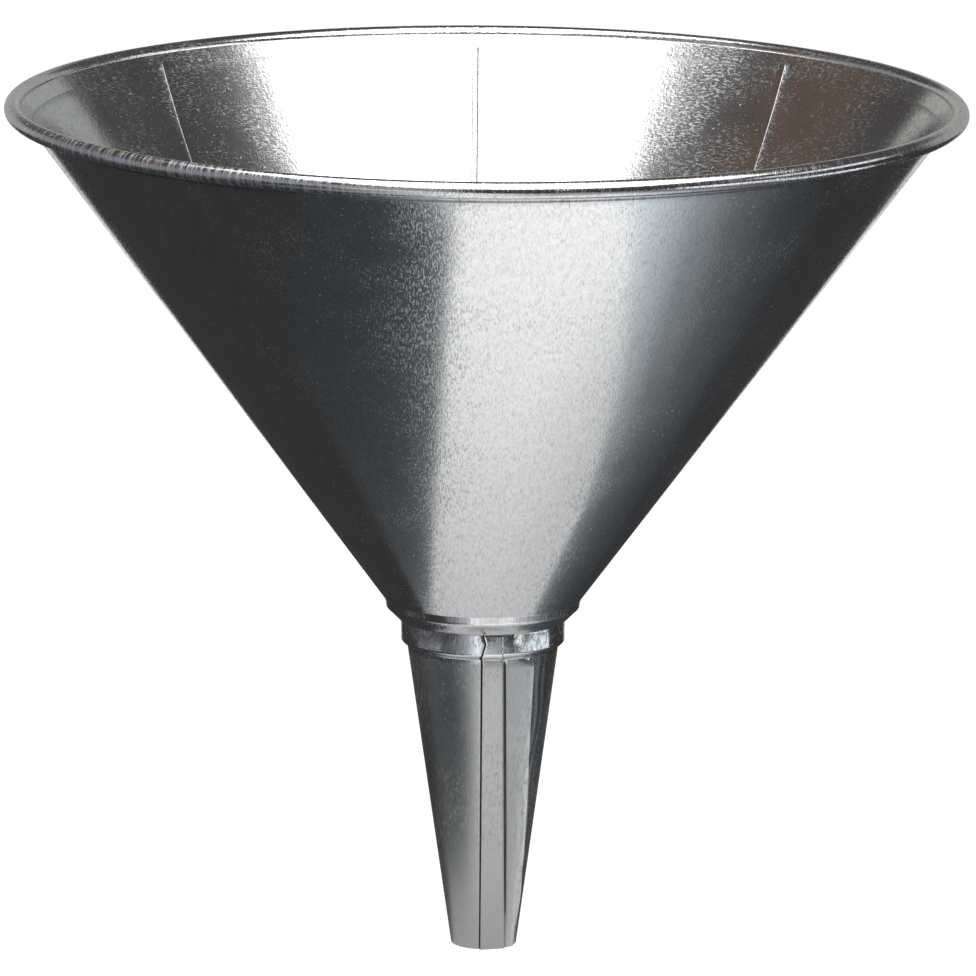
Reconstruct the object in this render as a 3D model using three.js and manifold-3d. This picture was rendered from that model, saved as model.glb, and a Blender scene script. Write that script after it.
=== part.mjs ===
// A sheet-metal filling funnel: a conical bowl with a wired rim, a tapered spout with a swaged neck,
// the steel wire inside the rim and the ring of solder that seals the spout's flare to the bowl.
// Millimetres, +Z up. The origin is on the axis where the spout's taper sits in a container's neck,
// and the spout's folded seam faces -Y. Every section below is drawn as [radius, height].
import * as THREE from "three";
import { mergeVertices } from "three/addons/utils/BufferGeometryUtils.js";
import Module from "manifold-3d";

// Driving dimensions.
const SHEET = 0.5;
const FIT = 0.3; // gap between pieces that touch
const RIM_DIAMETER = 250; // over the rolled edge
const WIRE_DIAMETER = 2.8;
const WIRE_BUTT_GAP = 1; // between the two ends of the rim wire
const WIRE_BUTT_ANGLE = -133; // degrees from +X round to the ends of the wire
const CURL_START = 17; // degrees below level at which the sheet meets the wire, inside the bowl
const CURL_END_GAP = 0.4; // between the cut edge of the curl and the sheet under it
const CREASE_INSET = 4.5; // wire in to the crease where the bowl's wall flares under the bead
const CREASE_DROP = 3.3; // wire down to that crease
const BOWL_DEPTH = 130; // rim wire down to the lower edge of the cone
const LIP_OVERHANG = 3.9; // how far the lower edge of the cone stands out past the neck
const LIP_DROP = 0.9; // short upright band where the cone ends
const LIP_CORNER = 1.8; // radius that turns the lip under
const LIP_HEIGHT = 5.3; // lower edge of the cone down to the edge of the hole
const NECK_DIAMETER = 43;
const NECK_BAND = 4.9; // upright part of the neck, below the lip
const NECK_SHOULDER = 2.1; // height over which the neck draws in to the spout
const NECK_STEP = 1.7; // how far it draws in
const SHOULDER_TURN = 60; // how far round its arc the shoulder runs, in degrees
const FLARE_LENGTH = 5; // how far the spout's flare runs up the inside of the bowl
const SPOUT_LENGTH = 80.5; // taper only, below the neck
const TIP_DIAMETER = 17.1;
const SEAT_BORE = 28; // bore of the container neck that the taper sits in
const SEAM_RISE = 0.8; // how far a pressed seam stands above the sheet
const BOWL_SEAM_WIDTH = 6;
const SEAM_SETBACK = 0.4; // how far the spout's seam stops short of the tip
const SPOUT_SEAM_WIDTH = 5.2;
const BOWL_SEAM_ANGLE = 90; // degrees from +X to one edge of the fold
const SPOUT_SEAM_ANGLE = -90;
const SOLDER_RUN = 2.6; // length of the solder fillet up the bowl's wall
const SOLDER_EDGE = 0.15; // thickness left at the thin end of the fillet

// How finely round shapes are cut.
const BOWL_SEGMENTS = 60;
const SPOUT_SEGMENTS = 40;
const WIRE_STEPS = 60;
const WIRE_SIDES = 8;
const CURL_STEPS = 12;
const CORNER_STEPS = 4;
const SHOULDER_STEPS = 5;

const degrees = Math.PI / 180;
const HALF_SHEET = SHEET / 2;

// Sizes that follow from the driving dimensions.
const wireRadius = WIRE_DIAMETER / 2;
const curlRadius = wireRadius + FIT + HALF_SHEET; // to the middle of the sheet
const wireCircle = RIM_DIAMETER / 2 - curlRadius - HALF_SHEET;
const neckRadius = NECK_DIAMETER / 2;
const lipRadius = neckRadius + LIP_OVERHANG;
const spoutTopRadius = neckRadius - NECK_STEP;
const tipRadius = TIP_DIAMETER / 2;
const taper = (spoutTopRadius - tipRadius) / SPOUT_LENGTH;

// Heights, worked up from the seat on the spout's taper.
const tipHeight = -(SEAT_BORE / 2 - tipRadius) / taper;
const spoutTopHeight = tipHeight + SPOUT_LENGTH;
const holeHeight = spoutTopHeight + NECK_SHOULDER + NECK_BAND;
const lipHeight = holeHeight + LIP_HEIGHT;
const rimHeight = lipHeight + BOWL_DEPTH;

// The bowl's wall runs from the lip to the crease. This is its angle from the axis.
const wallFoot = [lipRadius - HALF_SHEET, lipHeight];
const crease = [wireCircle - CREASE_INSET, rimHeight - CREASE_DROP];
const wallAngle = Math.atan2(crease[0] - wallFoot[0], crease[1] - wallFoot[1]);
const upWall = [Math.sin(wallAngle), Math.cos(wallAngle)];
const intoBowl = [-Math.cos(wallAngle), Math.sin(wallAngle)];

const along = ([r, z], [dr, dz], distance) => [r + dr * distance, z + dz * distance];

// Points on an arc, angles in degrees from the outward direction, anticlockwise positive.
function arc([r, z], radius, from, to, steps) {
  return Array.from({ length: steps + 1 }, (_, i) => {
    const angle = (from + ((to - from) * i) / steps) * degrees;
    return [r + radius * Math.cos(angle), z + radius * Math.sin(angle)];
  });
}

// A path moved sideways to its left by a distance, with mitred corners.
function offset(path, distance) {
  const normals = path.slice(1).map(([r, z], i) => {
    const [dr, dz] = [r - path[i][0], z - path[i][1]];
    const length = Math.hypot(dr, dz);
    return [-dz / length, dr / length];
  });
  return path.map((point, i) => {
    const before = normals[Math.max(i - 1, 0)];
    const after = normals[Math.min(i, normals.length - 1)];
    const mitre = [before[0] + after[0], before[1] + after[1]];
    const stretch = 2 / (mitre[0] ** 2 + mitre[1] ** 2);
    return along(point, mitre, distance * stretch);
  });
}

// The closed outline of sheet metal that follows a path through the middle of its thickness.
const sheetOutline = (path) => [
  ...offset(path, HALF_SHEET),
  ...offset(path, -HALF_SHEET).reverse(),
];

// A closed outline turned about the Z axis.
function revolved(outline, segments) {
  const points = [...outline, outline[0]].map(([r, z]) => new THREE.Vector2(r, z));
  const turned = new THREE.LatheGeometry(points, segments);
  return turned.rotateX(Math.PI / 2);
}

const wasm = await Module();
wasm.setup();

// A geometry as a solid for cutting and joining, whichever way round its faces are drawn.
function solidOf(geometry) {
  const bare = geometry.index ? geometry.toNonIndexed() : geometry.clone();
  bare.deleteAttribute("normal");
  bare.deleteAttribute("uv");
  const merged = mergeVertices(bare, 1e-4);
  const build = (triVerts) =>
    new wasm.Manifold(
      new wasm.Mesh({ numProp: 3, vertProperties: merged.attributes.position.array, triVerts }),
    );
  const solid = build(new Uint32Array(merged.index.array));
  return solid.volume() > 0 ? solid : build(new Uint32Array(merged.index.array).reverse());
}

// A solid's surface as a geometry that three.js can draw.
function geometryOf(solid) {
  const mesh = solid.getMesh();
  const geometry = new THREE.BufferGeometry()
    .setAttribute("position", new THREE.BufferAttribute(mesh.vertProperties, 3))
    .setIndex(new THREE.BufferAttribute(mesh.triVerts, 1));
  geometry.computeVertexNormals();
  return geometry;
}

// A folded seam: sheet raised over a strip of constant width, from one angle round the axis.
// The path runs down the sheet, so that its left-hand side faces outwards.
function seam(path, width, angle, segments) {
  const raised = [...path, ...offset(path, HALF_SHEET + SEAM_RISE).reverse()];
  const reach = RIM_DIAMETER;
  const strip = new THREE.BoxGeometry(reach, width, 2 * reach);
  strip.translate(reach / 2, width / 2, 0).rotateZ(angle * degrees);
  return solidOf(revolved(raised, segments)).intersect(solidOf(strip));
}

// The bowl's sheet, from the edge of its hole out under the lip, up the wall and round the wire.
const lipCorner = [lipRadius - HALF_SHEET - LIP_CORNER, lipHeight - LIP_DROP];
const holeEdge = [neckRadius + FIT, holeHeight + HALF_SHEET];
const lipPath = [
  holeEdge,
  ...arc(lipCorner, LIP_CORNER, -65, 0, CORNER_STEPS),
  wallFoot,
];
const curlCentre = [wireCircle, rimHeight];
const curlStart = arc(curlCentre, curlRadius, 180 + CURL_START, 0, 1)[0];
const flareAngle = Math.atan2(curlStart[0] - crease[0], curlStart[1] - crease[1]);
const wireOffFlare =
  (wireCircle - curlStart[0]) * Math.cos(flareAngle) -
  (rimHeight - curlStart[1]) * Math.sin(flareAngle) -
  HALF_SHEET;
const curlEnd =
  -flareAngle / degrees -
  Math.acos((CURL_END_GAP - wireOffFlare) / (curlRadius + HALF_SHEET)) / degrees;
const curlPath = arc(curlCentre, curlRadius, 180 + CURL_START, curlEnd, CURL_STEPS);

function bowlGeometry() {
  const shell = revolved(sheetOutline([...lipPath, crease, ...curlPath]), BOWL_SEGMENTS);
  const seamPath = [crease, wallFoot];
  const fold = seam(seamPath, BOWL_SEAM_WIDTH, BOWL_SEAM_ANGLE, BOWL_SEGMENTS);
  return geometryOf(solidOf(shell).add(fold));
}

// The spout's sheet, from the top of its flare, nested inside the lip, down to the tip.
const nested = offset(lipPath, SHEET + FIT);
const flareFoot = nested[nested.length - 1];
const flarePath = [along(flareFoot, upWall, FLARE_LENGTH), ...nested.slice(1).reverse()];
const neckPath = [
  [neckRadius - HALF_SHEET, nested[0][1]],
  [neckRadius - HALF_SHEET, holeHeight - NECK_BAND],
];
const shoulderPath = Array.from({ length: SHOULDER_STEPS }, (_, i) => {
  const whole = SHOULDER_TURN * degrees;
  const turn = ((i + 1) / SHOULDER_STEPS) * whole;
  return [
    neckRadius - HALF_SHEET - (NECK_STEP * (1 - Math.cos(turn))) / (1 - Math.cos(whole)),
    holeHeight - NECK_BAND - (NECK_SHOULDER * Math.sin(turn)) / Math.sin(whole),
  ];
});
const spoutBelowLip = [...neckPath, ...shoulderPath, [tipRadius - HALF_SHEET, tipHeight]];

function spoutGeometry() {
  const shell = revolved(sheetOutline([...flarePath, ...spoutBelowLip]), SPOUT_SEGMENTS);
  const seamTop = [neckPath[0][0], holeHeight - SEAM_RISE];
  const seamFoot = [tipRadius - HALF_SHEET + taper * SEAM_SETBACK, tipHeight + SEAM_SETBACK];
  const seamPath = [seamTop, ...spoutBelowLip.slice(1, -1), seamFoot];
  const fold = seam(seamPath, SPOUT_SEAM_WIDTH, SPOUT_SEAM_ANGLE, SPOUT_SEGMENTS);
  return geometryOf(solidOf(shell).add(fold));
}

// The rim wire: round wire bent into a ring whose ends butt together.
class RingCurve extends THREE.Curve {
  getPoint(t, target = new THREE.Vector3()) {
    const gap = WIRE_BUTT_GAP / wireCircle;
    const angle = WIRE_BUTT_ANGLE * degrees + gap / 2 + (2 * Math.PI - gap) * t;
    return target.set(Math.cos(angle) * wireCircle, Math.sin(angle) * wireCircle, rimHeight);
  }
}

function rimWireGeometry() {
  const section = new THREE.Shape().absarc(0, 0, wireRadius, 0, 2 * Math.PI);
  return new THREE.ExtrudeGeometry(section, {
    extrudePath: new RingCurve(),
    steps: WIRE_STEPS,
    curveSegments: WIRE_SIDES / 2,
  });
}

// The solder fillet that closes the step between the flare's top edge and the bowl's wall.
function throatSolderGeometry() {
  const corner = along(along(flarePath[0], upWall, FIT), intoBowl, -HALF_SHEET);
  const outline = [
    corner,
    along(corner, intoBowl, SHEET),
    along(along(corner, upWall, SOLDER_RUN), intoBowl, SOLDER_EDGE),
    along(corner, upWall, SOLDER_RUN),
  ];
  return revolved(outline, SPOUT_SEGMENTS);
}

const tinnedSheet = new THREE.MeshStandardMaterial({
  color: 0xb4b8ba,
  roughness: 0.28,
  metalness: 1,
});
const steelWire = new THREE.MeshStandardMaterial({ color: 0x7f8386, roughness: 0.45, metalness: 1 });
const softSolder = new THREE.MeshStandardMaterial({ color: 0xa3a6a6, roughness: 0.4, metalness: 1 });

// A named mesh of a closed geometry, with its faces turned outwards.
function piece(name, geometry, material) {
  const mesh = new THREE.Mesh(geometryOf(solidOf(geometry)), material);
  mesh.name = name;
  return mesh;
}

const funnel = new THREE.Group();
funnel.add(
  piece("bowl", bowlGeometry(), tinnedSheet),
  piece("rim_wire", rimWireGeometry(), steelWire),
  piece("spout", spoutGeometry(), tinnedSheet),
  piece("throat_solder", throatSolderGeometry(), softSolder),
);

export default funnel;
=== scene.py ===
"""Sheet-metal filling funnel: fine surfaces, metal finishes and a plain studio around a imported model."""

import math

import bpy
import numpy as np
from mathutils import Matrix, Vector


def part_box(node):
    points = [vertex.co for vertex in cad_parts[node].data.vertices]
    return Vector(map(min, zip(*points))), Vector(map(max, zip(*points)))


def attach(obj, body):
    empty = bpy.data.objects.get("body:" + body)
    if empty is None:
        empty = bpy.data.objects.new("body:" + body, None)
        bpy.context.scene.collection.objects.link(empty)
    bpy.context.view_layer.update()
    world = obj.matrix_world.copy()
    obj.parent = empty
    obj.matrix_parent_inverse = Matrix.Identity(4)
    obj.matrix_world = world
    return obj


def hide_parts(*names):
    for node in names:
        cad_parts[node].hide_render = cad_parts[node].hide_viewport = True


bl_info = {
    "name": "Tinned filling funnel",
    "version": (1, 0, 0),
    "blender": (4, 5, 0),
    "location": "View3D > Sidebar > Funnel",
    "description": "Builds the bowl, rim wire, spout and solder of a sheet-metal funnel, and its studio",
    "category": "Object",
}

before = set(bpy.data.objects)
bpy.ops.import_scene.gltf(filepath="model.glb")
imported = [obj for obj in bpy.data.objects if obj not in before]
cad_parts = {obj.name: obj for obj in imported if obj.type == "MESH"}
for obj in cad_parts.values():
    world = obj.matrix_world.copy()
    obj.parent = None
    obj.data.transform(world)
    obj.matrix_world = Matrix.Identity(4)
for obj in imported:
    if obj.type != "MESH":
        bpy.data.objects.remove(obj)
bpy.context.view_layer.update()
BOWL_LOW, BOWL_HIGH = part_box("bowl")
SPOUT_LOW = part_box("spout")[0]
WIRE_LOW, WIRE_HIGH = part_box("rim_wire")
SOLDER_LOW, SOLDER_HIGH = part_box("throat_solder")
MM = 0.001
RIM_LEVEL = (WIRE_LOW.z + WIRE_HIGH.z) / 2
HOLE_LEVEL = BOWL_LOW.z
TIP_LEVEL = SPOUT_LOW.z


# Profiles, drawn as [radius, height] ------------------------------------------------------------


def arc(centre, radius, start, end, count):
    """Points on a circle about centre, from one angle to another in degrees from outwards."""
    turn = np.radians(np.linspace(start, end, count))
    return np.stack([centre[0] + radius * np.cos(turn), centre[1] + radius * np.sin(turn)], 1)


def run(start, end, count):
    """Points spaced evenly on the straight line from start to end, both included."""
    share = np.linspace(0, 1, count)[:, None]
    return np.asarray(start) * (1 - share) + np.asarray(end) * share


def bend(corner, before, after, reach, count):
    """A rounded corner: the quadratic curve that leaves the corner's two legs at a reach from it."""
    a = np.asarray(before, float) - corner
    b = np.asarray(after, float) - corner
    a = np.asarray(corner) + a / np.hypot(*a) * reach
    b = np.asarray(corner) + b / np.hypot(*b) * reach
    t = np.linspace(0, 1, count)[:, None]
    return (1 - t) ** 2 * a + 2 * t * (1 - t) * np.asarray(corner) + t**2 * b


def left_normals(path):
    """Unit vectors square to a path's direction, on its left, from the slope through each point."""
    slope = np.gradient(path, axis=0)
    slope /= np.hypot(slope[:, 0], slope[:, 1])[:, None]
    return np.stack([-slope[:, 1], slope[:, 0]], 1)


def sheet_loop(path, thickness, edge_count=5):
    """The closed outline of a sheet: its left face, a half-round end, its right face, a half-round end.
    Returns the points and, for each, the outward normal in the same plane."""
    normal = left_normals(path)
    half = thickness / 2
    turn = np.linspace(0, np.pi, edge_count + 2)[1:-1, None]
    ahead = np.stack([normal[-1, 1], -normal[-1, 0]])
    behind = -np.stack([normal[0, 1], -normal[0, 0]])
    far_cap = normal[-1] * np.cos(turn) + ahead * np.sin(turn)
    near_cap = -normal[0] * np.cos(turn) + behind * np.sin(turn)
    normals = np.concatenate([normal, far_cap, -normal[::-1], near_cap])
    centres = np.concatenate(
        [path, np.repeat(path[-1:], edge_count, 0), path[::-1], np.repeat(path[:1], edge_count, 0)]
    )
    return centres + normals * half, normals


def smoothstep(value, low, high):
    """0 below low, 1 above high, and an even S curve between them."""
    t = np.clip((value - low) / (high - low), 0, 1)
    return t * t * (3 - 2 * t)


# Meshes ------------------------------------------------------------------------------------------


def around(corner_angles, corner_lifts, counts):
    """Angles and lifts at every column of a closed ring. Each row has its own corner angles, and the
    columns between two corners are spaced evenly, so the grid's lines follow features that slant."""
    angles, lifts = [], []
    wrapped = np.concatenate([corner_angles, corner_angles[:, :1] + 2 * np.pi], 1)
    closed = np.concatenate([corner_lifts, corner_lifts[:, :1]], 1)
    for k, count in enumerate(counts):
        share = np.arange(count)[None, :] / count
        angles.append(wrapped[:, k : k + 1] * (1 - share) + wrapped[:, k + 1 : k + 2] * share)
        lifts.append(closed[:, k : k + 1] * (1 - share) + closed[:, k + 1 : k + 2] * share)
    return np.concatenate(angles, 1), np.concatenate(lifts, 1)


def place(loop, normals, angles, lifts, facing):
    """Turns an outline about Z: each point moves out along its own normal by its lift, then goes to
    its angle, measured from the facing direction (radians from +X) anticlockwise seen from above."""
    radius = loop[:, :1] + normals[:, :1] * lifts
    height = loop[:, 1:] + normals[:, 1:] * lifts
    turn = facing + angles
    return np.stack([radius * np.cos(turn), radius * np.sin(turn), height], 2)


def ring_mesh(name, points, uv=None, values=None):
    """A closed ring of quads from a grid of points that joins up both ways, turned to face outwards."""
    rows, columns = points.shape[:2]
    i, j = np.meshgrid(np.arange(rows), np.arange(columns), indexing="ij")
    next_i, next_j = (i + 1) % rows, (j + 1) % columns
    quads = np.stack(
        [i * columns + j, next_i * columns + j, next_i * columns + next_j, i * columns + next_j], 2
    ).reshape(-1, 4)
    flat = points.reshape(-1, 3)
    a, b, c, d = (flat[quads[:, k]] for k in range(4))
    volume = np.einsum("ij,ij->i", a, np.cross(b, c) + np.cross(c, d)).sum()
    order = [0, 1, 2, 3] if volume > 0 else [3, 2, 1, 0]
    quads = quads[:, order]
    mesh = bpy.data.meshes.new(name)
    mesh.vertices.add(len(flat))
    mesh.vertices.foreach_set("co", flat.astype(np.float32).ravel())
    mesh.loops.add(quads.size)
    mesh.loops.foreach_set("vertex_index", quads.astype(np.int32).ravel())
    mesh.polygons.add(len(quads))
    mesh.polygons.foreach_set("loop_start", np.arange(0, quads.size, 4, dtype=np.int32))
    mesh.update(calc_edges=True)
    if uv is not None:
        ii = np.stack([i, i + 1, i + 1, i], 2).reshape(-1, 4)[:, order] % rows
        jj = np.stack([j, j, j + 1, j + 1], 2).reshape(-1, 4)[:, order]
        layer = mesh.uv_layers.new(name="flat_pattern")
        layer.data.foreach_set("uv", uv[ii, jj].astype(np.float32).ravel())
    for label, grid in (values or {}).items():
        attribute = mesh.attributes.new(label, "FLOAT", "POINT")
        attribute.data.foreach_set("value", grid.astype(np.float32).ravel())
    mesh.polygons.foreach_set("use_smooth", np.ones(len(quads), bool))
    mesh.set_sharp_from_angle(angle=math.radians(50))
    mesh.validate()
    piece = bpy.data.objects.new(name, mesh)
    bpy.context.scene.collection.objects.link(piece)
    return piece


def finish_piece(piece, material, node):
    """Gives a piece its material, ties it to the body and hides the CAD part that it stands for."""
    piece.data.materials.append(material)
    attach(piece, "root")
    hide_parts(node)


# Sizes and colours a user would change ------------------------------------------------------------


def length(name, description, default):
    """A length property in metres."""
    return bpy.props.FloatProperty(
        name=name, description=description, default=default, unit="LENGTH", precision=5
    )


def colour(name, description, default):
    """A colour property."""
    return bpy.props.FloatVectorProperty(
        name=name, description=description, default=default, subtype="COLOR", size=3, min=0, max=1
    )


class FunnelSizes(bpy.types.PropertyGroup):
    """Sizes of the funnel's sheet, seams, rim and spout."""

    sheet: length("Sheet", "Thickness of the sheet metal", 0.5 * MM)
    rim_radius: length("Rim radius", "Axis to the outside of the bead", BOWL_HIGH.x)
    bead: length("Bead", "Thickness of the rolled bead", 4.4 * MM)
    crease_inset: length("Crease inset", "Wire in to the crease under the bead", 4.5 * MM)
    crease_drop: length("Crease drop", "Wire down to the crease under the bead", 3.6 * MM)
    lip_radius: length("Lip radius", "Axis to the outside of the bowl's lower edge", 25.4 * MM)
    lip_height: length("Lip height", "Edge of the hole up to the bowl's lower edge", 5.3 * MM)
    neck_radius: length("Neck radius", "Axis to the outside of the neck ring", 21.5 * MM)
    spout_top: length("Spout top radius", "Axis to the spout just under the neck ring", 19.8 * MM)
    tip_radius: length("Tip radius", "Axis to the outside of the spout's tip", 8.55 * MM)
    spout_lean: length("Spout lean", "How far the tip stands off the bowl's axis", 0.9 * MM)
    bowl_seam: length("Bowl seam", "Width of the bowl's folded seam", 6 * MM)
    spout_seam: length("Spout seam", "Width of the spout's folded seam", 5.2 * MM)
    wire: length("Wire", "Thickness of the rim wire", WIRE_HIGH.z - WIRE_LOW.z)


class FunnelFinish(bpy.types.PropertyGroup):
    """Colours of the metals."""

    tin: colour("Tin", "Bright tinned sheet", (0.74, 0.745, 0.75))
    dull_tin: colour("Dull tin", "Darker grain in the tinned sheet", (0.46, 0.47, 0.49))
    wire: colour("Wire", "Plain steel wire", (0.42, 0.43, 0.44))
    solder: colour("Solder", "Soft solder", (0.55, 0.56, 0.56))


class FunnelStudio(bpy.types.PropertyGroup):
    """Camera and floor of the studio."""

    distance: length("Camera distance", "Camera to the point it looks at", 2.48)
    elevation: bpy.props.FloatProperty(
        name="Elevation", description="Height angle of the camera", default=math.radians(11.8),
        subtype="ANGLE",
    )
    floor_level: length("Floor level", "Height of the floor", -0.42)
    floor: colour("Floor", "Pale floor", (0.9, 0.9, 0.895))


# Materials ---------------------------------------------------------------------------------------


class Nodes:
    """A small helper that adds nodes to a material and joins their sockets."""

    def __init__(self, name):
        self.material = bpy.data.materials.new(name)
        self.material.use_nodes = True
        self.tree = self.material.node_tree
        self.tree.nodes.clear()
        self.output = self.tree.nodes.new("ShaderNodeOutputMaterial")

    def add(self, kind, settings=None, **inputs):
        node = self.tree.nodes.new(kind)
        for key, value in (settings or {}).items():
            setattr(node, key, value)
        for key, value in inputs.items():
            self.set(node, key, value)
        return node

    def set(self, node, key, value):
        numbered = key[0] == "i" and key[1:].isdigit()
        socket = node.inputs[int(key[1:]) if numbered else key.replace("_", " ")]
        if isinstance(value, bpy.types.NodeSocket):
            self.tree.links.new(value, socket)
        else:
            socket.default_value = value

    def math(self, operation, a, b=0.0):
        return self.add("ShaderNodeMath", {"operation": operation}, i0=a, i1=b).outputs[0]

    def noise(self, vector, scale, detail=2.0, rough=0.5, distortion=0.0):
        return self.add(
            "ShaderNodeTexNoise", None, Vector=vector, Scale=scale, Detail=detail, Roughness=rough,
            Distortion=distortion,
        ).outputs["Fac"]

    def between(self, value, low, high, out_low=0.0, out_high=1.0):
        return self.add(
            "ShaderNodeMapRange", {"clamp": True}, Value=value, From_Min=low, From_Max=high,
            To_Min=out_low, To_Max=out_high,
        ).outputs["Result"]

    def stretch(self, vector, scale):
        return self.add("ShaderNodeMapping", None, Vector=vector, Scale=scale).outputs["Vector"]

    def mix(self, share, a, b):
        node = self.tree.nodes.new("ShaderNodeMix")
        node.data_type = "RGBA"
        for socket, value in ((node.inputs["Factor"], share), (node.inputs[6], a), (node.inputs[7], b)):
            if isinstance(value, bpy.types.NodeSocket):
                self.tree.links.new(value, socket)
            else:
                socket.default_value = value
        return node.outputs[2]


def tinned_sheet(name, bright, dull):
    """Bright tin over rolled steel: short strokes of grain that run one way in the flat sheet,
    specks, a fine orange-peel and a slow waviness that break up the edges of reflections. The
    satin attribute dulls it, wear scores it, one attribute darkens it to near black as painted
    shade in creases, gaps and grooves, peel roughens it more coarsely, and strike marks it across
    with bars that follow the turn attribute."""
    n = Nodes(name)
    flat = n.add("ShaderNodeUVMap", {"uv_map": "flat_pattern"}).outputs["UV"]
    here = n.add("ShaderNodeTexCoord").outputs["Object"]
    wear, satin, strike, turn, painted_shade, peeled = (
        n.add("ShaderNodeAttribute", {"attribute_name": label}).outputs["Fac"]
        for label in ("wear", "satin", "strike", "turn", "painted_shade", "peel")
    )
    grain = n.noise(n.stretch(flat, (2300.0, 620.0, 1.0)), 1.0, 3.0, 0.6, 0.5)
    mottle = n.noise(n.stretch(flat, (800.0, 300.0, 1.0)), 1.0, 3.0, 0.6, 0.4)
    patches = n.noise(here, 45.0, 3.0, 0.55)
    peel = n.noise(here, 900.0, 1.5, 0.5)
    inner_peel = n.math("MULTIPLY", n.noise(n.stretch(flat, (750.0, 1300.0, 1.0)), 1.0, 2.0, 0.55), peeled)
    specks = n.between(n.noise(here, 1100.0, 1.0, 0.5), 0.70, 0.74)
    strokes = n.math("MULTIPLY", n.between(grain, 0.53, 0.60), n.between(patches, 0.38, 0.62, 0.15, 1.0))
    along = n.add("ShaderNodeTexNoise", {"noise_dimensions": "1D"}, W=turn, Scale=1.0, Detail=2.0)
    bars = n.math("MULTIPLY", n.between(along.outputs["Fac"], 0.42, 0.58), strike)
    ribs = n.math("MULTIPLY", along.outputs["Fac"], strike)

    rough = n.math(
        "ADD", n.between(mottle, 0.3, 0.7, 0.085, 0.14), n.between(patches, 0.35, 0.65, -0.01, 0.03)
    )
    dulled = [(specks, 0.25), (strokes, 0.24), (wear, 0.35), (satin, 0.24), (painted_shade, 0.3), (bars, 0.3)]
    for share, amount in dulled:
        rough = n.math("ADD", rough, n.math("MULTIPLY", share, amount))
    shade = n.math("MULTIPLY", n.between(grain, 0.35, 0.68), n.between(mottle, 0.35, 0.7, 0.25, 1.0))
    tone = n.mix(shade, (*bright, 1.0), (*dull, 1.0))
    tone = n.mix(n.math("MULTIPLY", satin, 0.9), tone, (*[c * 0.57 for c in bright], 1.0))
    between_bars = n.math("SUBTRACT", strike, bars)
    tone = n.mix(n.math("MULTIPLY", between_bars, 0.5), tone, (*[c * 0.6 for c in dull], 1.0))
    # Painted shade: near-black tone in creases, the gaps under the lip and bead, and the spout's fold edge
    # and groove, where shade falls.
    tone = n.mix(n.math("MULTIPLY", painted_shade, 0.9), tone, (*[c * 0.06 for c in dull], 1.0))

    layers = [(grain, 0.014), (peel, 0.016), (n.noise(here, 330.0, 2.0, 0.5), 0.026), (inner_peel, 0.034)]
    layers += [(n.noise(here, 40.0, 2.0, 0.5), 0.10), (ribs, 0.07), (strokes, 0.006)]
    height = 0.0
    for layer, amount in layers:
        height = n.math("ADD", height, n.math("MULTIPLY", layer, amount))
    bump = n.add("ShaderNodeBump", None, Strength=0.8, Distance=MM, Height=height)
    shader = n.add(
        "ShaderNodeBsdfPrincipled", None, Base_Color=tone, Metallic=1.0, Roughness=rough,
        Normal=bump.outputs["Normal"],
    )
    n.set(n.output, "Surface", shader.outputs["BSDF"])
    return n.material


def drawn_wire(name, tint):
    """Plain drawn wire: fine lines and a slightly uneven dull finish."""
    n = Nodes(name)
    here = n.add("ShaderNodeTexCoord").outputs["Object"]
    spots = n.noise(here, 700.0, 3.0, 0.6)
    tone = n.mix(spots, (*tint, 1.0), (*[c * 0.6 for c in tint], 1.0))
    bump = n.add("ShaderNodeBump", None, Strength=0.4, Distance=0.1 * MM, Height=spots)
    shader = n.add(
        "ShaderNodeBsdfPrincipled", None, Base_Color=tone, Metallic=1.0,
        Roughness=n.between(spots, 0.3, 0.7, 0.35, 0.6), Normal=bump.outputs["Normal"],
    )
    n.set(n.output, "Surface", shader.outputs["BSDF"])
    return n.material


def soft_solder(name, tint):
    """Soft solder: dull, lightly rippled metal with smeared patches."""
    n = Nodes(name)
    here = n.add("ShaderNodeTexCoord").outputs["Object"]
    ripple = n.noise(here, 320.0, 3.0, 0.6, 0.5)
    tone = n.mix(ripple, (*tint, 1.0), (*[c * 0.75 for c in tint], 1.0))
    bump = n.add("ShaderNodeBump", None, Strength=0.6, Distance=0.3 * MM, Height=ripple)
    shader = n.add(
        "ShaderNodeBsdfPrincipled", None, Base_Color=tone, Metallic=1.0,
        Roughness=n.between(ripple, 0.3, 0.7, 0.3, 0.5), Normal=bump.outputs["Normal"],
    )
    n.set(n.output, "Surface", shader.outputs["BSDF"])
    return n.material


# Shapes of the pieces ----------------------------------------------------------------------------

# Degrees round the wire, from outwards, at which the sheet meets it and at which the curl ends.
BEAD_START = 181.0
BEAD_END = -141.8
WIRE_BUTT = -133.0  # degrees from +X to the ends of the rim wire
WIRE_GAP = 1 * MM
GAP = 0.3 * MM  # between pieces that touch
BARS_PER_METRE = 800  # cross marks along the bead


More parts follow.
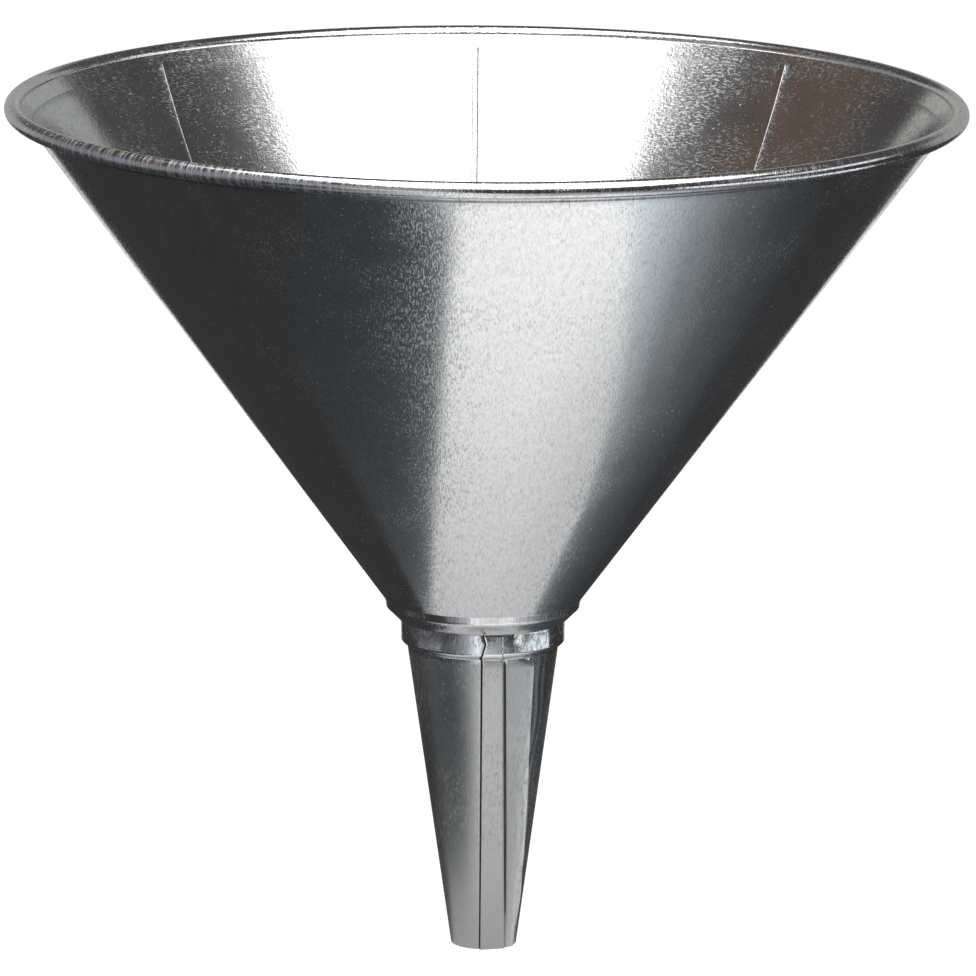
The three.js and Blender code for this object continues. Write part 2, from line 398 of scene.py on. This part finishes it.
def bowl_path(s):
    """The middle of the bowl's sheet, from the hole out under the lip, up the wall and round the wire."""
    half = s.sheet / 2
    wire_circle = s.rim_radius - s.bead / 2
    lip = HOLE_LEVEL + s.lip_height
    wall_foot = np.array([s.lip_radius - half, lip])
    crease = np.array([wire_circle - s.crease_inset, RIM_LEVEL - s.crease_drop])
    around_wire = arc((wire_circle, RIM_LEVEL), s.bead / 2 - half, BEAD_START, BEAD_END, 64)
    hole = np.array([s.neck_radius + GAP, HOLE_LEVEL + half + 0.02 * MM])
    brow = wall_foot + (crease - wall_foot) * 0.0022 + np.array([0.1 * MM, 0])
    chin = np.array([s.lip_radius - half + 0.08 * MM, lip - 1.7 * MM])
    parts = [
        run(hole, hole + (chin - hole) * 0.8, 12)[:-1],
        bend(chin, hole, brow, 0.45 * MM, 8),
        bend(brow, chin, crease, 0.14 * MM, 6),
        run(brow + (crease - brow) * 0.005, crease, 78)[:-1],
        bend(crease, brow, around_wire[0], 0.35 * MM, 5),
        run(crease, around_wire[0], 9)[2:-1],
        around_wire,
    ]
    path = np.concatenate(parts)
    gaps = np.hypot(*np.diff(path, axis=0).T)
    return path[np.concatenate([[True], gaps > 1e-6])]


def flat_pattern(angles, slant, cone_angle):
    """Where each point lies in the flat sheet: slant distance from the cone's apex, at the turned
    angle times the sine of the cone's half angle."""
    turned = angles * math.sin(cone_angle)
    return np.stack([slant * np.sin(turned), slant * np.cos(turned)], 2)


def waviness(angles, heights, strength):
    """Slow dents in the sheet: a few sine waves round the piece and up it, added together."""
    waves = [(3, 31.0, 0.4), (7, -22.0, 1.9), (11, 54.0, 2.6), (17, 40.0, 0.9), (5, 90.0, 4.1)]
    total = sum(np.sin(k * angles + h * heights + p) / (1 + 0.25 * i) for i, (k, h, p) in enumerate(waves))
    return strength * total / len(waves)


def make_bowl(s, material):
    """The bowl: its outline turned about Z, with the folded seam at the back raised outside, a step
    at the seam inside, and two fine scribed lines inside."""
    path = bowl_path(s)
    loop, normals = sheet_loop(path, s.sheet)
    radius, height = loop[:, 0], loop[:, 1]
    wire_circle = s.rim_radius - s.bead / 2
    on_bead = smoothstep(height, RIM_LEVEL - s.crease_drop, RIM_LEVEL - s.bead / 2)
    inner = np.zeros(len(loop))
    inner[: len(path)] = 1
    outer = 1 - inner
    wall = smoothstep(height, HOLE_LEVEL + s.lip_height, HOLE_LEVEL + s.lip_height + 4 * MM)

    # Lateral places of the seam's edges, and how far the sheet stands out there, outside and inside.
    w = s.bowl_seam
    across = np.array([-0.35, -0.05, 0.10, 2.15, 2.45, 2.75, 3.75, 3.95, 4.2, 5.85, 6.05, 6.35]) * w / 6
    up = np.array([0, 0.35, 0.8, 0.8, 0.8, 0.8, 0.8, 0.8, 0.8, 0.8, 0.4, 0]) * MM
    inside = np.array([0, 0, 0, 0, 0.22, 0, 0, -0.14, 0, 0, 0, 0]) * MM
    seam_angles = np.arcsin(np.clip(across[None, :] / radius[:, None], -1, 1))
    outer_lift = up[None, :] * (outer * wall * (1 - on_bead * 0.7))[:, None]
    inner_lift = inside[None, :] * (inner * wall * (1 - 0.5 * on_bead))[:, None]
    seam_lifts = outer_lift + inner_lift

    # Scribed lines: they lean a little away from the seam as they go down the wall.
    share = radius / s.rim_radius
    spread = (0.985 - np.clip(share, 0.3, 1)) * 26.0
    width = 0.12 * MM / radius
    fade = inner * smoothstep(share, 0.45, 0.6)
    fade *= 1 - smoothstep(height, RIM_LEVEL - 2.9 * MM, RIM_LEVEL - 1.6 * MM)
    side = np.stack([-2.2 * width, -width, 0 * width, width, 2.2 * width], 1)
    ridge = np.array([0, 0.6, 1, 0.6, 0])[None, :] * (0.07 * MM * fade)[:, None]
    left = np.radians(46.1 + spread)[:, None] + side
    right = 2 * np.pi - np.radians(41.5 + spread * 0.85)[:, None] + side

    corners = np.concatenate([seam_angles, left, right], 1)
    lifts = np.concatenate([seam_lifts, ridge, ridge], 1)
    counts = [1, 1, 3, 1, 1, 2, 1, 1, 3, 1, 1, 34] + [1, 1, 1, 1, 170] + [1, 1, 1, 1, 36]
    angles, lift = around(corners, lifts, counts)
    mark = np.array([0, 0.4, 0.7, 0.4, 0])[None, :] * fade[:, None]
    seam_mark = np.array([0, 0, 0, 0, 0.9, 0, 0, 0.5, 0, 0, 0, 0])[None, :]
    seam_mark = seam_mark * (inner * wall * (1 - on_bead))[:, None]
    _, wear = around(corners, np.concatenate([seam_mark, mark, mark], 1), counts)

    outward = np.where(inner > 0, -1.0, 1.0)
    lift = lift + waviness(angles, height[:, None], 0.055 * MM) * (outward * wall * (1 - on_bead))[:, None]
    points = place(loop, normals, angles, lift, math.pi / 2)
    rise = RIM_LEVEL - s.crease_drop - HOLE_LEVEL - s.lip_height
    cone = math.atan2(wire_circle - s.crease_inset - s.lip_radius, rise)
    slant = radius / math.sin(cone) + on_bead * (height - RIM_LEVEL)
    closed = np.concatenate([angles, angles[:, :1] + 2 * np.pi], 1)
    uv = flat_pattern(closed - np.pi, np.repeat(slant[:, None], closed.shape[1], 1), cone)
    on_roll = smoothstep(height, RIM_LEVEL - 2.6 * MM, RIM_LEVEL - 1.8 * MM)
    outside = on_roll * (radius > wire_circle - 0.6 * MM)
    ribbed = outside[:, None] * (0.2 + 0.8 * np.exp(-(((angles - math.radians(130)) / 0.5) ** 2)))
    # Painted shade: dark tone in the gap under the lip, the crease under the bead outside and the crease
    # line inside, where shade falls.
    under_lip = outer * smoothstep(-height, -HOLE_LEVEL - 0.25 * MM, -HOLE_LEVEL - 0.05 * MM)
    above_crease = height - RIM_LEVEL + s.crease_drop
    under_bead = outer * np.exp(-((above_crease / (0.35 * MM)) ** 2)) * (radius < wire_circle - 2 * MM)
    crease_line = inner * np.exp(-((above_crease / (0.2 * MM)) ** 2)) * 0.5
    painted_shade = np.broadcast_to(((under_lip + under_bead) * 0.8 + crease_line)[:, None], angles.shape)
    peel = np.broadcast_to((inner * wall)[:, None], angles.shape)
    turn = angles * s.rim_radius * BARS_PER_METRE
    marks = {"wear": wear, "strike": ribbed, "turn": turn, "painted_shade": painted_shade, "peel": peel}
    piece = ring_mesh("Bowl", points, uv, marks)
    finish_piece(piece, material, "bowl")


def spout_outline(s):
    """The middle of the spout's sheet, from the top of its flare inside the bowl, over the lip, down
    the neck ring, in through its shoulder and down the taper to the tip."""
    half = s.sheet / 2
    lip = HOLE_LEVEL + s.lip_height
    gap = s.sheet + GAP
    wire_circle = s.rim_radius - s.bead / 2
    rise = RIM_LEVEL - s.crease_drop - lip
    cone = math.atan2(wire_circle - s.crease_inset - s.lip_radius + half, rise)
    up_wall = np.array([math.sin(cone), math.cos(cone)])
    foot = np.array([s.lip_radius - half - gap / math.cos(cone), lip + 0.1 * MM])
    top = foot + up_wall * 5 * MM
    corner = np.array([s.neck_radius - half, HOLE_LEVEL + 0.85 * MM])
    ring_end = HOLE_LEVEL - 5.0 * MM
    neck_low = HOLE_LEVEL - 7.1 * MM
    slope = (s.spout_top - s.tip_radius) / (neck_low - TIP_LEVEL)
    z = np.linspace(ring_end, neck_low, 20)
    taper = s.tip_radius + (z - TIP_LEVEL) * slope - half
    blend = np.clip(1 - smoothstep(z, neck_low, ring_end), 0, 1) ** 1.25
    ring = s.neck_radius - half
    shoulder = np.stack([ring * (1 - blend) + taper * blend, z], 1)
    z = np.linspace(neck_low, TIP_LEVEL + 0.25 * MM, 64)[1:]
    below = np.stack([s.tip_radius + (z - TIP_LEVEL) * slope - half, z], 1)
    upright = run((corner[0], corner[1] - 0.55 * MM), (corner[0], ring_end), 14)[1:-1]
    upright[:, 0] += 0.03 * MM * np.sin(np.pi * np.linspace(0, 1, len(upright)))
    return np.concatenate(
        [
            run(top, foot, 8)[:-1],
            bend(foot, top, corner, 0.4 * MM, 4),
            bend(corner, foot, (corner[0], ring_end), 0.5 * MM, 7),
            upright,
            shoulder,
            below,
        ]
    )


def make_spout(s, material):
    """The spout: its outline turned about Z, with a folded seam at the front between two upright
    planes, a groove beside it and a flat facet that narrows to the tip."""
    path = spout_outline(s)
    loop, normals = sheet_loop(path, s.sheet)
    radius, height = loop[:, 0], loop[:, 1]
    on = (normals[:, 0] * (height < HOLE_LEVEL) > 0.2) * 1.0
    top = HOLE_LEVEL - 0.2 * MM
    below_neck = 1 - smoothstep(height, HOLE_LEVEL - 7.8 * MM, HOLE_LEVEL - 6.8 * MM)
    drop = np.clip((top - height) / (top - TIP_LEVEL), 0, 1)
    ring_foot = HOLE_LEVEL - 6.5 * MM

    # The edge of the fold wanders a little on the neck ring, then leans left down the taper.
    knots = HOLE_LEVEL + np.array([-88.0, -7.6, -6.2, -4.2, -2.4, -0.4, 6.0]) * MM
    places = np.array([-0.95, -0.20, -0.35, 0.30, 0.85, 0.25, 0.2]) * MM
    crack = np.interp(height, knots, places)
    fold = s.spout_seam * np.ones_like(height)
    groove_end = fold + np.interp(drop, [0.0, 0.12, 0.6, 1.0], np.array([0.35, 0.62, 0.66, 0.45]) * MM)
    crease = np.interp(drop, [0.0, 0.1, 0.32, 0.62, 0.85, 1.0], [13.2, 12.8, 11.7, 10.4, 8.9, 7.6]) * MM
    crease = np.minimum(crease, 0.93 * radius)
    lateral = np.stack(
        [
            *(crack + step * MM for step in (-0.40, -0.14, -0.02, 0.06, 0.22)),
            *(fold + step * MM for step in (-0.25, 0.02, 0.20)),
            groove_end - 0.1 * MM, groove_end + 0.2 * MM, crease - 0.15 * MM, crease + 0.15 * MM,
        ],
        1,
    )
    angles_at = np.arcsin(np.clip(lateral / radius[:, None], -0.97, 0.97))
    fade = 1 - 0.75 * smoothstep(drop, 0.8, 1.0)
    fold_up = 0.62 * MM * (0.55 + 0.45 * below_neck)
    deep = -0.40 * MM * below_neck * fade
    flat_up = 0.22 * MM * below_neck
    zero = np.zeros_like(height)
    lifts = np.stack(
        [
            zero, zero - 0.10 * MM, zero - 0.30 * MM, fold_up * 0.75, fold_up,
            fold_up, fold_up * 0.8, deep, deep, flat_up,
            flat_up + 0.95 * MM * below_neck * fade, zero,
        ],
        1,
    ) * on[:, None]
    counts = [1, 1, 1, 1, 10, 1, 1, 1, 1, 12, 1, 210]
    angles, lift = around(angles_at, lifts, counts)
    # Flat faces: between two corners the surface follows the straight line that joins them.
    starts = np.cumsum([0] + counts)
    reach = radius[:, None] + normals[:, :1] * lift
    for k, flatness in ((4, on), (9, on * below_neck)):
        a, b = starts[k], starts[k + 1]
        low, high = angles[:, a : a + 1], angles[:, b : b + 1]
        chord_low, chord_high = reach[:, a : a + 1], reach[:, b : b + 1]
        share = (angles[:, a:b] - low) / (high - low)
        x = chord_low * np.sin(low) * (1 - share) + chord_high * np.sin(high) * share
        y = chord_low * np.cos(low) * (1 - share) + chord_high * np.cos(high) * share
        straight = np.hypot(x, y) - reach[:, a:b]
        lift[:, a:b] += straight * flatness[:, None]
    dents = np.where(height > ring_foot, 0.05, 0.03) * MM
    lift = lift + waviness(angles, height[:, None], dents[:, None]) * on[:, None]
    right_side = np.exp(-(((angles - 0.95) / 0.22) ** 2)) * (below_neck * on)[:, None]
    row = height[:, None]
    pleats = np.sin(44 * angles + 2.2 * np.sin(row * 210) + 1.3 * np.sin(row * 95 + 1))
    lift = lift + 0.10 * MM * pleats * right_side
    points = place(loop, normals, angles, lift, -math.pi / 2)
    points[:, :, 2] = np.maximum(points[:, :, 2], TIP_LEVEL + 0.02 * MM)
    points[:, :, 0] += (s.spout_lean * drop * (height < HOLE_LEVEL))[:, None]
    slant = np.concatenate([[0], np.cumsum(np.hypot(*np.diff(loop, axis=0).T))])
    closed = np.concatenate([angles, angles[:, :1] + 2 * np.pi], 1)
    mean = 0.5 * (s.spout_top + s.tip_radius)
    uv = np.stack([closed * mean, np.repeat(slant[:, None], closed.shape[1], 1)], 2)
    # Painted shade: dark tone along the fold's edge and in the groove beside the fold, where shade falls.
    groove = 0.7 * below_neck
    painted_shade_levels = [zero, zero + 0.2, zero + 1, zero + 1, zero, zero, zero + 0.2, groove, groove, zero, zero, zero]
    _, painted_shade = around(angles_at, np.stack(painted_shade_levels, 1) * on[:, None], counts)
    marks = {"satin": below_neck[:, None] * (1 - 0.8 * right_side), "painted_shade": painted_shade}
    piece = ring_mesh("Spout", points, uv, marks)
    finish_piece(piece, material, "spout")


def make_wire(s, material):
    """The rim wire: a circle carried round the rim, closed by its own flat ends where they butt."""
    circle = s.rim_radius - s.bead / 2
    half_gap = WIRE_GAP / 2 / circle
    turns = math.radians(WIRE_BUTT) + np.linspace(half_gap, 2 * np.pi - half_gap, 240)
    sides = np.linspace(0, 2 * np.pi, 16, endpoint=False)
    size = s.wire / 2
    r = circle + size * np.cos(sides)[None, :] * np.ones((len(turns), 1))
    z = RIM_LEVEL + size * np.sin(sides)[None, :] * np.ones((len(turns), 1))
    grid = np.stack([r * np.cos(turns)[:, None], r * np.sin(turns)[:, None], z], 2)
    count, ring = grid.shape[:2]
    ends = [[circle * math.cos(t), circle * math.sin(t), RIM_LEVEL] for t in (turns[0], turns[-1])]
    points = np.concatenate([grid.reshape(-1, 3), ends])
    i, j = np.meshgrid(np.arange(count - 1), np.arange(ring), indexing="ij")
    k = (j + 1) % ring
    quads = np.stack([i * ring + j, i * ring + k, (i + 1) * ring + k, (i + 1) * ring + j], 2)
    j = np.arange(ring)
    k = (j + 1) % ring
    first = np.stack([np.full(ring, count * ring), k, j], 1)
    last = np.stack([np.full(ring, count * ring + 1), (count - 1) * ring + j, (count - 1) * ring + k], 1)
    faces = quads.reshape(-1, 4).tolist() + first.tolist() + last.tolist()
    mesh = bpy.data.meshes.new("Rim_wire")
    mesh.from_pydata(points.tolist(), [], faces)
    mesh.polygons.foreach_set("use_smooth", np.ones(len(faces), bool))
    mesh.set_sharp_from_angle(angle=math.radians(50))
    piece = bpy.data.objects.new("Rim_wire", mesh)
    bpy.context.scene.collection.objects.link(piece)
    finish_piece(piece, material, "rim_wire")


def make_solder(material):
    """The throat's solder: a thin wedge turned about Z, its top edge and belly slightly uneven."""
    top_radius, foot_radius = SOLDER_HIGH.x, 27.9 * MM
    slope = math.atan2(top_radius - foot_radius, SOLDER_HIGH.z - SOLDER_LOW.z)
    up = np.array([math.sin(slope), math.cos(slope)])
    inward = np.array([-math.cos(slope), math.sin(slope)])
    base = np.array([top_radius, SOLDER_HIGH.z]) - up * 2.55 * MM
    tip = base + up * 2.5 * MM
    corners = np.array([base, base + inward * 0.45 * MM, tip + inward * 0.12 * MM, tip])
    sides = [run(corners[k], corners[(k + 1) % 4], n)[:-1] for k, n in enumerate((4, 10, 3, 10))]
    loop = np.concatenate(sides)
    normals = np.tile(inward, (len(loop), 1))
    face = np.zeros(len(loop))
    face[3:12] = np.sin(np.linspace(0.15, math.pi - 0.15, 9))
    turn = np.linspace(0, 2 * np.pi, 220, endpoint=False)[None, :]
    lumps = 0.5 + 0.3 * np.sin(9 * turn + 0.6) + 0.2 * np.sin(23 * turn + 2.2)
    lift = face[:, None] * lumps * 0.25 * MM
    angles = np.repeat(turn, len(loop), 0)
    piece = ring_mesh("Throat_solder", place(loop, normals, angles, lift, 0.0))
    finish_piece(piece, material, "throat_solder")


# Studio ------------------------------------------------------------------------------------------


def glow(name, tint, strength):
    """A plain glowing surface, its strength scaled by the level stored at each point."""
    n = Nodes(name)
    level = n.add("ShaderNodeAttribute", {"attribute_name": "level"}).outputs["Fac"]
    strength = n.math("MULTIPLY", level, strength)
    light = n.add("ShaderNodeEmission", None, Color=(*tint, 1.0), Strength=strength)
    n.set(n.output, "Surface", light.outputs["Emission"])
    return n.material


def card(name, rows, levels, tint, strength):
    """A glowing card that only reflections see: strips between rows of points, each row with its own
    level of light, or one for each of its points, so that a card can fade out towards an edge."""
    mesh = bpy.data.meshes.new(name)
    width = len(rows[0])
    faces = [
        (i * width + j, i * width + j + 1, (i + 1) * width + j + 1, (i + 1) * width + j)
        for i in range(len(rows) - 1)
        for j in range(width - 1)
    ]
    mesh.from_pydata([tuple(p) for row in rows for p in row], [], faces)
    attribute = mesh.attributes.new("level", "FLOAT", "POINT")
    grid = np.broadcast_to(np.reshape(levels, (len(rows), -1)), (len(rows), width))
    attribute.data.foreach_set("value", grid.astype(np.float32).ravel())
    mesh.materials.append(glow(name, tint, strength))
    plate = bpy.data.objects.new(name, mesh)
    bpy.context.scene.collection.objects.link(plate)
    plate.visible_camera = False
    plate.visible_shadow = False
    plate.visible_diffuse = False
    plate.visible_transmission = False


def faded(edge, away, distances, z):
    """Rows of points that step away from an edge, each point in its own direction, at one height."""
    return [[(x + dx * d, y + dy * d, z) for (x, y), (dx, dy) in zip(edge, away)] for d in distances]


def make_floor(level, tint):
    """A wide pale floor, a little brighter than its light makes it, as an evenly lit sweep is."""
    n = Nodes("Pale_floor")
    here = n.add("ShaderNodeTexCoord").outputs["Object"]
    tone = n.mix(n.noise(here, 3.0), (*tint, 1.0), (*[c * 0.97 for c in tint], 1.0))
    shader = n.add(
        "ShaderNodeBsdfPrincipled", None, Base_Color=tone, Roughness=0.9,
        Emission_Color=(1.0, 1.0, 0.995, 1.0), Emission_Strength=1.0,
    )
    n.set(n.output, "Surface", shader.outputs["BSDF"])
    size = 40.0
    mesh = bpy.data.meshes.new("Floor")
    corners = [(-size, -size, level), (size, -size, level), (size, size, level), (-size, size, level)]
    mesh.from_pydata(corners, [], [(0, 1, 2, 3)])
    mesh.materials.append(n.material)
    floor = bpy.data.objects.new("Floor", mesh)
    bpy.context.scene.collection.objects.link(floor)
    floor.visible_glossy = False


def make_world(seen, above, below):
    """A white surround for the eye, and a dim studio for what the metal reflects: one tone over the
    horizon and another under it."""
    world = bpy.data.worlds.new("Studio")
    world.use_nodes = True
    tree = world.node_tree
    tree.nodes.clear()
    make, join = tree.nodes.new, tree.links.new
    path, where = make("ShaderNodeLightPath"), make("ShaderNodeTexCoord")
    split = make("ShaderNodeSeparateXYZ")
    ramp = make("ShaderNodeValToRGB")
    ramp.color_ramp.elements[0].position, ramp.color_ramp.elements[1].position = 0.47, 0.53
    ramp.color_ramp.elements[0].color, ramp.color_ramp.elements[1].color = (*below, 1.0), (*above, 1.0)
    half = make("ShaderNodeMath")
    half.operation = "MULTIPLY_ADD"
    half.inputs[1].default_value = half.inputs[2].default_value = 0.5
    white, dim = make("ShaderNodeBackground"), make("ShaderNodeBackground")
    white.inputs["Color"].default_value = (*seen, 1.0)
    pick, out = make("ShaderNodeMixShader"), make("ShaderNodeOutputWorld")
    join(where.outputs["Generated"], split.inputs[0])
    join(split.outputs["Z"], half.inputs[0])
    join(half.outputs[0], ramp.inputs[0])
    join(ramp.outputs[0], dim.inputs["Color"])
    join(path.outputs["Is Camera Ray"], pick.inputs[0])
    join(dim.outputs[0], pick.inputs[1])
    join(white.outputs[0], pick.inputs[2])
    join(pick.outputs[0], out.inputs["Surface"])
    bpy.context.scene.world = world


def make_camera(studio):
    """A long lens from the front, a little above, with a slight roll."""
    data = bpy.data.cameras.new("Camera")
    data.lens, data.sensor_width = 350.0, 36.0
    data.clip_end = 100
    camera = bpy.data.objects.new("Camera", data)
    bpy.context.scene.collection.objects.link(camera)
    target = Vector((0, 0, RIM_LEVEL - 0.1))
    e = studio.elevation
    camera.location = target + Vector((0, -math.cos(e), math.sin(e))) * studio.distance
    aim = target + Vector((1.1, 0, -0.57)) * MM
    look = (camera.location - aim).to_track_quat("Z", "Y").to_matrix().to_4x4()
    camera.matrix_world = (
        Matrix.Translation(camera.location) @ look @ Matrix.Rotation(math.radians(0.467), 4, "Z")
    )
    bpy.context.scene.camera = camera


def make_lights():
    """Cards that the metal reflects: a big box overhead, a white board on the table that dims under
    the funnel and fades out round its edges, a pale wall behind, and windows left, right and ahead."""
    up = RIM_LEVEL + 1.0
    under = TIP_LEVEL - 9 * MM
    white, cool = (1.0, 1.0, 0.99), (0.90, 0.98, 1.04)

    def upright(name, ends, low, high, tint, strength):
        rows = [[(x, y, z) for x, y in ends] for z in (low, high)]
        card(name, rows, [1, 1], tint, strength)

    corners = [(-0.585, -1.9), (-0.585, 0.366), (1.1, -0.180), (1.1, -1.9)]
    rows = [[(*corners[0], up), (*corners[3], up)], [(*corners[1], up), (*corners[2], up)]]
    card("Overhead_box", rows, [1, 1], white, 4.0)
    away = [(-1, 0), (-0.8, 0.9), (0.7, 0.9), (1, 0)]
    rows = faded(corners, away, (0, 0.1, 0.25, 0.5), up)
    card("Overhead_fade", rows, [1.3, 0.38, 0.15, 0.08], (1.0, 0.96, 0.93), 1.0)

    # Each row of the board: its y, its two ends' x, and the light at those ends.
    board = [
        (0.017, -0.073, 0.035, 0.66, 0.6), (-0.010, -0.0638, 0.102, 0.70, 0.7),
        (-0.04, -0.0536, 0.119, 0.77, 0.75), (-0.071, -0.043, 0.120, 0.92, 0.94),
        (-0.105, -0.0346, 0.121, 1.10, 1.22), (-0.14, -0.026, 0.1215, 1.20, 1.35),
        (-0.150, -0.024, 0.122, 1.25, 1.4), (-0.152, -0.050, 0.122, 1.25, 1.4),
        (-0.30, -0.06, 0.126, 1.4, 0.3), (-0.60, -0.06, 0.135, 1.4, 0.05),
    ]
    rows = [[(row[1], row[0], under), (row[2], row[0], under)] for row in board]
    card("Table_board", rows, [row[3:] for row in board], white, 1.0)
    edge = [(0.035, 0.017), (0.102, -0.010), (0.121, -0.104), (0.135, -0.60)]
    away = [(0.3, 0.95), (0.75, 0.66), (1, 0), (1, 0)]
    rows = faded(edge, away, (0, 0.03, 0.07, 0.12, 0.2), under)
    levels = [
        [0.22, 0.30, 0.98, 0.5], [0.08, 0.16, 0.76, 0.3], [0.05, 0.12, 0.43, 0.2], [0.05, 0.09, 0.19, 0.12],
        [0.045, 0.045, 0.06, 0.06],
    ]
    card("Table_right", rows, levels, cool, 1.0)
    edge = [(-0.073, 0.017), (-0.043, -0.071), (-0.026, -0.14), (-0.024, -0.152)]
    away = [(-1, -0.1)] * 4
    rows = faded(edge, away, (0, 0.012, 0.03, 0.06, 0.11), under - 0.5 * MM)
    card("Table_left", rows, [0.19, 0.11, 0.075, 0.058, 0.045], cool, 1.0)
    edge = [(-0.050, -0.152), (-0.06, -0.60)]
    rows = faded(edge, [(-1, -0.1), (-1, 0)], (0, 0.05, 0.12, 0.3), under)
    card("Table_far_left", rows, [[0.5, 1.5], [0.36, 1.4], [0.22, 0.5], [0.08, 0.1]], cool, 1.0)
    sides = (
        (-0.62, -0.36, (-0.30, 0.0, 0.35), (0.09, 0.08, 0.07)),
        (0.36, 0.54, (-0.28, -0.19, -0.13, 0.10), (0.1, 0.4, 1.3, 1.3)),
    )
    for left, right, depths, levels in sides:
        rows = [[(left, y, under), (right, y, under)] for y in depths]
        card("Table_side", rows, levels, cool, 1.0)
    upright("Back_wall_left", ((-2.6, 2.0), (0.0, 2.0)), -0.3, 0.74, (1.0, 0.98, 0.94), 0.45)
    upright("Back_wall_right", ((0.0, 2.0), (2.6, 2.0)), -0.3, 1.1, (0.97, 1.0, 0.95), 0.42)
    upright("Back_low", ((-0.7, 2.0), (0.7, 2.0)), -0.49, -0.3, white, 0.85)
    upright("Left_screen", ((-2.4, -1.3), (-2.4, 0.6)), -0.9, 0.95, cool, 0.34)
    upright("Front_left", ((-2.4, -1.4), (-0.2, -1.4)), -0.12, 0.75, cool, 0.42)
    upright("Front_low", ((-1.0, -1.5), (-0.18, -1.5)), -1.0, -0.12, white, 1.0)
    upright("Right_window", ((1.5, -1.4), (1.5, -0.40)), -1.0, -0.26, white, 1.6)
    upright("Right_high", ((2.0, -0.9), (2.0, 0.6)), 0.35, 0.85, white, 1.2)
    upright("Left_back", ((-2.5, 0.6), (-2.5, 2.6)), -0.3, 1.35, cool, 0.3)
    upright("Left_front", ((-2.5, -2.6), (-2.5, -0.75)), 0.3, 4.0, cool, 0.34)
    upright("Left_drape", ((-2.6, -0.8), (-2.6, 2.2)), 0.5, 5.0, (1.0, 0.73, 0.57), 0.135)


# Operators ---------------------------------------------------------------------------------------


class FUNNEL_OT_bowl(bpy.types.Operator):
    """Build the bowl with its lip, seam and rolled bead"""

    bl_idname = "funnel.bowl"
    bl_label = "Bowl"

    def execute(self, context):
        scene = context.scene
        make_bowl(scene.funnel_sizes, shared_tin(scene))
        return {"FINISHED"}


class FUNNEL_OT_spout(bpy.types.Operator):
    """Build the spout with its neck ring and folded seam"""

    bl_idname = "funnel.spout"
    bl_label = "Spout"

    def execute(self, context):
        scene = context.scene
        make_spout(scene.funnel_sizes, shared_tin(scene))
        return {"FINISHED"}


class FUNNEL_OT_fittings(bpy.types.Operator):
    """Build the rim wire and the solder in the throat"""

    bl_idname = "funnel.fittings"
    bl_label = "Wire and solder"

    def execute(self, context):
        scene = context.scene
        make_wire(scene.funnel_sizes, drawn_wire("Drawn_wire", scene.funnel_finish.wire))
        make_solder(soft_solder("Soft_solder", scene.funnel_finish.solder))
        return {"FINISHED"}


class FUNNEL_OT_studio(bpy.types.Operator):
    """Set up the floor, surround, lights and camera"""

    bl_idname = "funnel.studio"
    bl_label = "Studio"

    def execute(self, context):
        studio = context.scene.funnel_studio
        make_floor(studio.floor_level, studio.floor)
        make_world((1.0, 1.0, 1.0), (0.080, 0.076, 0.072), (0.045, 0.043, 0.042))
        make_lights()
        make_camera(studio)
        context.scene.view_settings.view_transform = "Standard"
        return {"FINISHED"}


def shared_tin(scene):
    """The tinned finish, made once and used by the bowl and the spout."""
    found = bpy.data.materials.get("Tinned_sheet")
    finish = scene.funnel_finish
    return found or tinned_sheet("Tinned_sheet", finish.tin, finish.dull_tin)


class FUNNEL_PT_panel(bpy.types.Panel):
    """Lists the funnel's pieces and sizes"""

    bl_idname = "FUNNEL_PT_panel"
    bl_label = "Funnel"
    bl_space_type = "VIEW_3D"
    bl_region_type = "UI"
    bl_category = "Funnel"

    def draw(self, context):
        layout = self.layout
        for operator in OPERATORS:
            layout.operator(operator.bl_idname)
        for group in ("funnel_sizes", "funnel_finish", "funnel_studio"):
            settings = getattr(context.scene, group)
            for key in settings.__annotations__:
                layout.prop(settings, key)


OPERATORS = (FUNNEL_OT_studio, FUNNEL_OT_bowl, FUNNEL_OT_spout, FUNNEL_OT_fittings)
GROUPS = (FunnelSizes, FunnelFinish, FunnelStudio)


def register():
    """Registers the classes and gives the scene its settings."""
    for item in (*GROUPS, *OPERATORS, FUNNEL_PT_panel):
        bpy.utils.register_class(item)
    bpy.types.Scene.funnel_sizes = bpy.props.PointerProperty(type=FunnelSizes)
    bpy.types.Scene.funnel_finish = bpy.props.PointerProperty(type=FunnelFinish)
    bpy.types.Scene.funnel_studio = bpy.props.PointerProperty(type=FunnelStudio)


def unregister():
    """Takes the settings and classes away again."""
    del bpy.types.Scene.funnel_studio, bpy.types.Scene.funnel_finish, bpy.types.Scene.funnel_sizes
    for item in (FUNNEL_PT_panel, *OPERATORS[::-1], *GROUPS[::-1]):
        bpy.utils.unregister_class(item)


def main():
    """Builds everything in order."""
    register()
    bpy.ops.funnel.studio()
    bpy.ops.funnel.bowl()
    bpy.ops.funnel.spout()
    bpy.ops.funnel.fittings()


if __name__ == "__main__":
    main()
